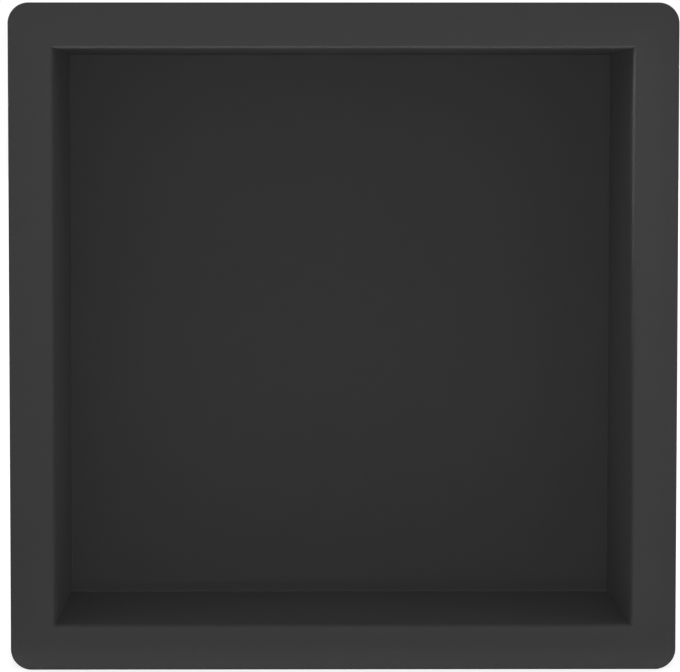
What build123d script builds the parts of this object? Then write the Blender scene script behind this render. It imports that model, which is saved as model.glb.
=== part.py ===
from build123d import *
import math
import os

os.makedirs("parts", exist_ok=True)

# Shower niche insert: a square box of stainless sheet with a rim round its mouth, black all over.
# It is one piece: five panels and the rim are folded from sheet, and the corners are welded shut.
# Origin at the centre of the mouth, on the face of the wall that the rim lies on.
# X runs to the right, Y into the wall and Z up.

# Driving dimensions
opening_width = 263.5  # clear width between the two side walls
opening_height = 263.5  # clear height between floor and ceiling
depth = 101.6  # front of the rim to the outside of the back panel
sheet = 1.2  # thickness of the sheet, the same everywhere
bend_radius = 1.0  # inside radius of each fold
rim_width = 20.65  # outer edge of the rim to the wall of the box
corner_radius = 9.5  # outer corners of the rim, seen from the front
seat_width = 6.0  # flat outer band of the rim, the part that lies on the wall
crown_radius = 85.0  # gentle roll of the rim, from the flat band in to the mouth
edge_break = 0.3  # rounding of the cut edge round the rim

# Dimensions that follow from them
overall_width = opening_width + 2 * rim_width
overall_height = opening_height + 2 * rim_width
back_face = depth - 2 * sheet  # inner face of the back panel
mouth_radius = bend_radius + sheet  # outside radius of the fold at the mouth
rolled_width = rim_width - seat_width - mouth_radius
roll_angle = math.degrees(math.asin(rolled_width / (crown_radius - mouth_radius)))

# The folded section runs the whole height across the width, and the whole width across the height
runs = (
    (Plane.XY, opening_width, overall_height, Mode.ADD),
    (Plane.ZY, opening_height, overall_width, Mode.INTERSECT),
)


# Half of the section goes from the middle of the mouth out to the rim, back along the crown, round
# the mouth and down the wall to the back panel, and is then mirrored. A skin of 0 draws the visible
# face of the sheet, and a skin of one thickness its hidden face. The form is what both runs share,
# which mitres the folds at the four corners.
def folded_form(skin):
    with BuildPart() as form:
        for plane, opening, length, mode in runs:
            crown_start = opening / 2 + rim_width - seat_width
            with BuildSketch(plane):
                with BuildLine():
                    front = Line((0, skin - sheet), (crown_start, skin - sheet))
                    crown = JernArc(front @ 1, (-1, 0), crown_radius - skin, -roll_angle)
                    mouth = JernArc(crown @ 1, crown % 1, mouth_radius - skin, roll_angle - 90)
                    wall = Line(mouth @ 1, (opening / 2 + skin, back_face - bend_radius))
                    fold = JernArc(wall @ 1, (0, 1), bend_radius + skin, 90)
                    Line(fold @ 1, (0, back_face + skin))
                    mirror(about=Plane.YZ)
                make_face()
            extrude(amount=length, both=True, mode=mode)
    return form.part


outside = folded_form(sheet)
inside = folded_form(0)

# Rim plate first, with its cut edge broken, then the box behind it, then the space inside
with BuildPart() as niche_insert:
    with BuildSketch(Plane.XZ):
        RectangleRounded(overall_width, overall_height, corner_radius)
    extrude(amount=sheet)
    fillet(niche_insert.faces().filter_by(Axis.Y).edges(), edge_break)
    add(outside)
    add(inside, mode=Mode.SUBTRACT)

niche_insert.part.label = "niche_insert"
export_step(niche_insert.part, "parts/niche_insert.step")
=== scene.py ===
import math

import bmesh
import bpy
from mathutils import Matrix, Vector


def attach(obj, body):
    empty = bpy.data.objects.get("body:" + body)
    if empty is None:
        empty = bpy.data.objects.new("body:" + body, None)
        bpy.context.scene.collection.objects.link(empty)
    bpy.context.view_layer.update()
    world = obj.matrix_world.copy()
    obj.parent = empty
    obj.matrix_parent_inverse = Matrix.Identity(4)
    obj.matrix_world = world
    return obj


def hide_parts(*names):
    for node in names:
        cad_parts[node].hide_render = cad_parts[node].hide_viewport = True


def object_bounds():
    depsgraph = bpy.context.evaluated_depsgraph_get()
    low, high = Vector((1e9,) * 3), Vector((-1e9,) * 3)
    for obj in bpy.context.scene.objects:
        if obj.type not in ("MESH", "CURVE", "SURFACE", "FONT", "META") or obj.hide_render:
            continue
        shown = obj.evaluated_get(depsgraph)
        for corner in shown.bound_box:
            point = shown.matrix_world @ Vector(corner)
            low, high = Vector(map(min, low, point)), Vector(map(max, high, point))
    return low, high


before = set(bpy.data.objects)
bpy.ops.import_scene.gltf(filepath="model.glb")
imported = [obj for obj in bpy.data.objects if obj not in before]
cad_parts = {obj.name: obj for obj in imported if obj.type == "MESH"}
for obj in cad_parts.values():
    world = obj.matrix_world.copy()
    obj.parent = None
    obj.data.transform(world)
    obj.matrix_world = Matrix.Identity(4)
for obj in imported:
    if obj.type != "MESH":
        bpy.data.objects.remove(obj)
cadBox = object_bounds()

quarterTurn = math.pi / 2
print("frame loaded")


# Shader maths: a wire is one socket, and sums and products of wires add Math nodes
class Wire:
    def __init__(self, tree, socket=None):
        self.tree = tree
        self.socket = socket

    # any node: its settings first, then the values or links of its sockets
    def node(self, kind, settings, inputs, output=0):
        made = self.tree.nodes.new(kind)
        for name, value in settings.items():
            setattr(made, name, value)
        for name, value in inputs.items():
            if isinstance(value, Wire):
                self.tree.links.new(value.socket, made.inputs[name])
            else:
                made.inputs[name].default_value = value
        return Wire(self.tree, made.outputs[output] if made.outputs else None)

    def math(self, operation, first, second):
        return self.node("ShaderNodeMath", {"operation": operation}, {0: first, 1: second})

    def __add__(self, other):
        return self.math("ADD", self, other)

    def __radd__(self, other):
        return self.math("ADD", other, self)

    def __sub__(self, other):
        return self.math("SUBTRACT", self, other)

    def __rsub__(self, other):
        return self.math("SUBTRACT", other, self)

    def __mul__(self, other):
        return self.math("MULTIPLY", self, other)

    def __rmul__(self, other):
        return self.math("MULTIPLY", other, self)


def newMaterial(name):
    material = bpy.data.materials.new(name)
    material.use_nodes = True
    material.node_tree.nodes.clear()
    return material, Wire(material.node_tree)


# a Mix node's colour sockets go by number, because its value sockets share their names
mixSockets = {"first": 6, "second": 7, "result": 2}


def blendColours(wire, factor, first, second):
    return wire.node(
        "ShaderNodeMix",
        {"data_type": "RGBA"},
        {"Factor": factor, mixSockets["first"]: first, mixSockets["second"]: second},
        mixSockets["result"],
    )


# Matte black powder coat: a fine grain you feel more than see, over a faint cloudiness of the spray
coat = {
    "darkTone": (0.025, 0.025, 0.025, 1),
    "lightTone": (0.03, 0.03, 0.03, 1),
    "cloudSize": 0.014,
    "cloudDetail": 3.0,
    "grainSize": 0.0007,
    "grainDetail": 2.0,
    "grainHeight": 0.000025,
    "grainStrength": 0.35,
    "roughness": 0.54,
    "roughnessCloud": 0.05,
    "roughnessGrain": 0.08,
    "noiseMiddle": 0.5,
    "chalkiness": 1.0,  # how evenly the scattered light spreads
    "gloss": 0.15,
}


def powderCoat():
    material, wire = newMaterial("black_powder_coat")
    place = wire.node("ShaderNodeTexCoord", {}, {}, "Object")

    def noise(size, detail):
        return wire.node("ShaderNodeTexNoise", {}, {"Vector": place, "Scale": 1 / size, "Detail": detail})

    cloud = noise(coat["cloudSize"], coat["cloudDetail"])
    grain = noise(coat["grainSize"], coat["grainDetail"])
    rough = (
        coat["roughness"]
        + (cloud - coat["noiseMiddle"]) * coat["roughnessCloud"]
        + (grain - coat["noiseMiddle"]) * coat["roughnessGrain"]
    )
    bump = wire.node(
        "ShaderNodeBump",
        {},
        {"Height": grain, "Strength": coat["grainStrength"], "Distance": coat["grainHeight"]},
    )
    surface = wire.node(
        "ShaderNodeBsdfPrincipled",
        {},
        {
            "Base Color": blendColours(wire, cloud, coat["darkTone"], coat["lightTone"]),
            "Roughness": rough,
            "Normal": bump,
            "Diffuse Roughness": coat["chalkiness"],
            "Specular IOR Level": coat["gloss"],
        },
    )
    wire.node("ShaderNodeOutputMaterial", {}, {"Surface": surface})
    return material


# The insert, in metres and degrees: the sheet is laid down as its visible face, then thickened
insert = {
    "rimWidth": 0.02065,
    "cornerRadius": 0.0095,
    "seatWidth": 0.006,
    "crownRadius": 0.085,
    "sheet": 0.0012,
    "bendRadius": 0.001,
    "edgeBreak": 0.0003,
    "weldRound": 0.0005,
    "holdingLoop": 0.0012,
    "cornerMerge": 0.0005,
    "cornerSegments": 16,
    "edgeSegments": 4,
    "closingSteps": 4,
    "crownSteps": 10,
    "foldSteps": 12,
    "backFoldSteps": 8,
    "roundProfile": 0.5,
    "smoothAngle": 30,
}


# one step inwards across the open face and back into the wall
def stepIn(across, back):
    bpy.ops.mesh.inset(thickness=across, depth=-back, use_even_offset=True, use_boundary=True)


# where each facet of a fold starts and ends, as angles
def facets(start, end, count):
    angles = [start + (end - start) * (i / count) for i in range(count + 1)]
    return zip(angles, angles[1:])


# a fold that turns from the face towards the wall
def rollIn(radius, start, end, count):
    for near, far in facets(start, end, count):
        stepIn(radius * (math.sin(far) - math.sin(near)), radius * (math.cos(near) - math.cos(far)))


# a fold that turns the other way, from the wall to the back panel
def rollOut(radius, count):
    for near, far in facets(0, quarterTurn, count):
        stepIn(radius * (math.cos(near) - math.cos(far)), radius * (math.sin(far) - math.sin(near)))


def roundOff(radius, segments, affect):
    bpy.ops.mesh.bevel(offset=radius, segments=segments, profile=insert["roundProfile"], affect=affect)


# a flat plate of the rim's outline, left in edit mode with its face selected
def rimPlate():
    low, high = cadBox
    bpy.ops.object.select_all(action="DESELECT")
    bpy.ops.mesh.primitive_plane_add(
        size=high.x - low.x, location=(0, low.y, 0), rotation=(quarterTurn, 0, 0)
    )
    piece = bpy.context.object
    piece.name = "niche_sheet"
    bpy.ops.object.transform_apply(location=True, rotation=True, scale=True)
    bpy.ops.object.mode_set(mode="EDIT")
    bpy.ops.mesh.select_mode(type="VERT")
    bpy.ops.mesh.select_all(action="SELECT")
    roundOff(insert["cornerRadius"], insert["cornerSegments"], "VERTICES")
    bpy.ops.mesh.select_mode(type="FACE")
    bpy.ops.mesh.select_all(action="SELECT")
    return piece


# from the plate's edge in to the back panel, one step after another
def foldInwards():
    low, high = cadBox
    hold = insert["holdingLoop"]
    crown = insert["crownRadius"]
    bend = insert["bendRadius"]
    mouthRadius = bend + insert["sheet"]
    rolled = insert["rimWidth"] - insert["seatWidth"] - mouthRadius
    roll = math.asin(rolled / (crown - mouthRadius))

    # flat band, then the crown as far as the place where the round corners close to square ones
    stepIn(hold, 0)
    stepIn(insert["seatWidth"] - hold, 0)
    closing = math.asin((insert["cornerRadius"] - insert["seatWidth"]) / crown)
    rollIn(crown, 0, closing, insert["closingSteps"])
    bpy.ops.mesh.remove_doubles(threshold=insert["cornerMerge"])
    rollIn(crown, closing, roll, insert["crownSteps"])

    # round the mouth and down the wall, with a loop near each end of the wall to hold it flat
    rollIn(mouthRadius, roll, quarterTurn, insert["foldSteps"])
    drop = crown * (1 - math.cos(roll)) + mouthRadius * math.cos(roll)
    wall = high.y - low.y - insert["sheet"] - bend - drop
    stepIn(0, hold)
    stepIn(0, wall - 2 * hold)
    stepIn(0, hold)

    rollOut(bend, insert["backFoldSteps"])
    stepIn(hold, 0)


# thickness to the hidden side
def thicken(piece):
    thick = piece.modifiers.new("sheet", "SOLIDIFY")
    thick.thickness = insert["sheet"]
    thick.offset = -1
    thick.use_even_offset = True
    thick.use_quality_normals = True
    bpy.ops.object.modifier_apply(modifier=thick.name)


def selectEdges(piece, wanted):
    bpy.ops.mesh.select_mode(type="EDGE")
    bpy.ops.mesh.select_all(action="DESELECT")
    mesh = bmesh.from_edit_mesh(piece.data)
    mesh.normal_update()
    for edge in mesh.edges:
        if len(edge.link_faces) == 2 and wanted(edge):
            edge.select_set(True)
    bmesh.update_edit_mesh(piece.data)


# break the cut edge round the rim, and dress the welds down the outside corners of the box
def dressEdges(piece):
    sideOn = 0.1  # the normal of a side-on face leans less than this along the depth
    faceOn = 0.9  # and that of a face that looks forwards or back leans more than this
    alongDepth = 0.99
    sharpCorner = 1.2  # radians that the sheet turns at a corner
    outerBand = cadBox[1].x - insert["cornerRadius"]

    def cutEdge(edge):
        lean = sorted(abs(face.normal.y) for face in edge.link_faces)
        reach = max(abs(edge.verts[0].co.x), abs(edge.verts[0].co.z))
        return lean[0] < sideOn and lean[1] > faceOn and reach > outerBand

    def weldEdge(edge):
        along = (edge.verts[1].co - edge.verts[0].co).normalized()
        return abs(along.y) > alongDepth and edge.is_convex and edge.calc_face_angle() > sharpCorner

    selectEdges(piece, cutEdge)
    roundOff(insert["edgeBreak"], insert["edgeSegments"], "EDGES")
    selectEdges(piece, weldEdge)
    roundOff(insert["weldRound"], insert["edgeSegments"], "EDGES")


def foldedSheet():
    piece = rimPlate()
    foldInwards()
    bpy.ops.object.mode_set(mode="OBJECT")
    thicken(piece)
    bpy.ops.object.mode_set(mode="EDIT")
    dressEdges(piece)
    bpy.ops.object.mode_set(mode="OBJECT")
    bpy.ops.object.shade_smooth_by_angle(angle=math.radians(insert["smoothAngle"]))
    return piece


piece = foldedSheet()
piece.data.materials.append(powderCoat())
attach(piece, "root")
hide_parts("niche_insert")
print("sheet folded:", len(piece.data.polygons), "faces")


# 1 for the rays that show the background: straight to the camera, mirrored or through glass
def shownRays(wire):
    seen = wire.node("ShaderNodeLightPath", {}, {}, "Is Camera Ray")
    mirrored = wire.node("ShaderNodeLightPath", {}, {}, "Is Glossy Ray")
    through = wire.node("ShaderNodeLightPath", {}, {}, "Is Transmission Ray")
    return wire.math("MAXIMUM", wire.math("MAXIMUM", seen, mirrored), through)


# Floor under the rim: seen and mirrored as white paper, and it keeps the shadow
floorSettings = {
    "size": 30.0,
    "colour": (0.8, 0.8, 0.8, 1),
    "roughness": 0.9,
    "sheen": 0.2,
    "whiter": 0.55,  # added only for the rays that show it
}


def paleFloor():
    bpy.ops.object.select_all(action="DESELECT")
    bpy.ops.mesh.primitive_plane_add(size=floorSettings["size"], location=(0, 0, cadBox[0].z))
    floor = bpy.context.object
    floor.name = "floor"
    bpy.ops.object.transform_apply(location=True, rotation=True, scale=True)
    material, wire = newMaterial("floor_paper")
    surface = wire.node(
        "ShaderNodeBsdfPrincipled",
        {},
        {
            "Base Color": floorSettings["colour"],
            "Roughness": floorSettings["roughness"],
            "Specular IOR Level": floorSettings["sheen"],
            "Emission Color": shownRays(wire),
            "Emission Strength": floorSettings["whiter"],
        },
    )
    wire.node("ShaderNodeOutputMaterial", {}, {"Surface": surface})
    floor.data.materials.append(material)


paleFloor()
print("floor laid")

# Studio sweep: white wherever it shows, while the light that it sheds from the front is dim
sweep = {
    "white": (1, 1, 1, 1),
    "dim": (0.45, 0.45, 0.45, 1),
    "dimUpTo": -0.15,  # how far a direction points behind the part, from -1 to 1
    "whiteFrom": 0.3,
    "strength": 1.0,
}


def studioSweep():
    world = bpy.data.worlds.new("studio")
    bpy.context.scene.world = world
    world.use_nodes = True
    world.node_tree.nodes.clear()
    wire = Wire(world.node_tree)
    outward = wire.node("ShaderNodeTexCoord", {}, {}, "Generated")
    behind = wire.node("ShaderNodeSeparateXYZ", {}, {"Vector": outward}, "Y")
    share = wire.node(
        "ShaderNodeMapRange",
        {"interpolation_type": "SMOOTHSTEP"},
        {"Value": behind, "From Min": sweep["dimUpTo"], "From Max": sweep["whiteFrom"]},
    )
    white = wire.math("MAXIMUM", share, shownRays(wire))
    tone = blendColours(wire, white, sweep["dim"], sweep["white"])
    light = wire.node("ShaderNodeBackground", {}, {"Color": tone, "Strength": sweep["strength"]})
    wire.node("ShaderNodeOutputWorld", {}, {"Surface": light})


studioSweep()
print("sweep hung")

# Softboxes: place, the point they face, width and height, how bright their cloth is, and the
# spread of their light in degrees where a grid narrows it
openSpread = 180
mouthCentre = (0, 0.03, 0)  # just inside the opening
softboxes = {
    "left": {"place": (-1.35, -0.75, 0), "aim": mouthCentre, "size": (0.5, 0.3), "glow": 5.8},
    "right": {"place": (1.35, -0.75, 0), "aim": mouthCentre, "size": (0.5, 0.3), "glow": 7.95},
    "front": {"place": (0, -1.6, 0.04), "aim": mouthCentre, "size": (0.4, 0.3), "glow": 18.2},
    "top": {"place": (0, -0.7, 1.25), "aim": mouthCentre, "size": (0.5, 0.5), "glow": 4.75},
    "edge": {  # from the left, along the right mouth fold and brightest at its top
        "place": (-1.2, -0.033, 0.25),
        "aim": (0.132, 0, 0.125),
        "size": (0.027, 0.14),
        "glow": 6,
        "spread": 11.5,
    },
    "rightRim": {  # lifts the rim to the right of the mouth
        "place": (0.142, -0.3, 0),
        "aim": (0.142, 0, 0),
        "size": (0.012, 0.26),
        "glow": 0.16,
        "spread": 8,
    },
    "lowFold": {  # from below, past the mouth to its upper fold
        "place": (0, -0.012, -0.147),
        "aim": (0, -0.0015, 0.13),
        "size": (0.32, 0.014),
        "glow": 0.93,
        "spread": 6,
    },
    "lowFront": {  # this one and the next lift the rim below the mouth
        "place": (0, -0.3, -0.147),
        "aim": (0, 0, -0.147),
        "size": (0.4, 0.008),
        "glow": 0.52,
        "spread": 20,
    },
    "lowRim": {
        "place": (0, -0.1, -0.149),
        "aim": (0, 0, -0.149),
        "size": (0.32, 0.005),
        "glow": 0.33,
        "spread": 10,
    },
}


def hangSoftboxes():
    for name, box in softboxes.items():
        data = bpy.data.lights.new("softbox_" + name, "AREA")
        data.shape = "RECTANGLE"
        data.size, data.size_y = box["size"]
        data.energy = box["glow"] * math.pi * data.size * data.size_y
        data.spread = math.radians(box.get("spread", openSpread))
        lamp = bpy.data.objects.new(data.name, data)
        bpy.context.scene.collection.objects.link(lamp)
        lamp.location = box["place"]
        facing = Vector(box["aim"]) - Vector(box["place"])
        lamp.rotation_euler = facing.to_track_quat("-Z", "Y").to_euler()
        lamp.visible_camera = False


hangSoftboxes()
print("studio lit")

# Camera, where the photograph's was, in metres and degrees
lens = {
    "place": (-0.0254, -1.3913, 0.0930),
    "yaw": 0.341,
    "pitch": -3.153,
    "roll": -0.004,
    "focalPixels": 3056,
    "imageWidth": 680,  # pixels too
    "sensorWidth": 36,
    "shift": (0.05, -0.05),
    "farthest": 100,
}


def photoCamera():
    data = bpy.data.cameras.new("camera")
    data.sensor_width = lens["sensorWidth"]
    data.lens = lens["focalPixels"] * lens["sensorWidth"] / lens["imageWidth"]
    data.shift_x, data.shift_y = lens["shift"]
    data.clip_end = lens["farthest"]
    camera = bpy.data.objects.new("camera", data)
    bpy.context.scene.collection.objects.link(camera)
    yaw = math.radians(lens["yaw"])
    pitch = math.radians(lens["pitch"])
    roll = math.radians(lens["roll"])
    ahead = Vector((math.sin(yaw) * math.cos(pitch), math.cos(yaw) * math.cos(pitch), math.sin(pitch)))
    turn = ahead.to_track_quat("-Z", "Y").to_matrix() @ Matrix.Rotation(roll, 3, "Z")
    camera.matrix_world = Matrix.Translation(lens["place"]) @ turn.to_4x4()
    bpy.context.scene.camera = camera


photoCamera()
bpy.context.scene.view_settings.view_transform = "Standard"
print("camera set")
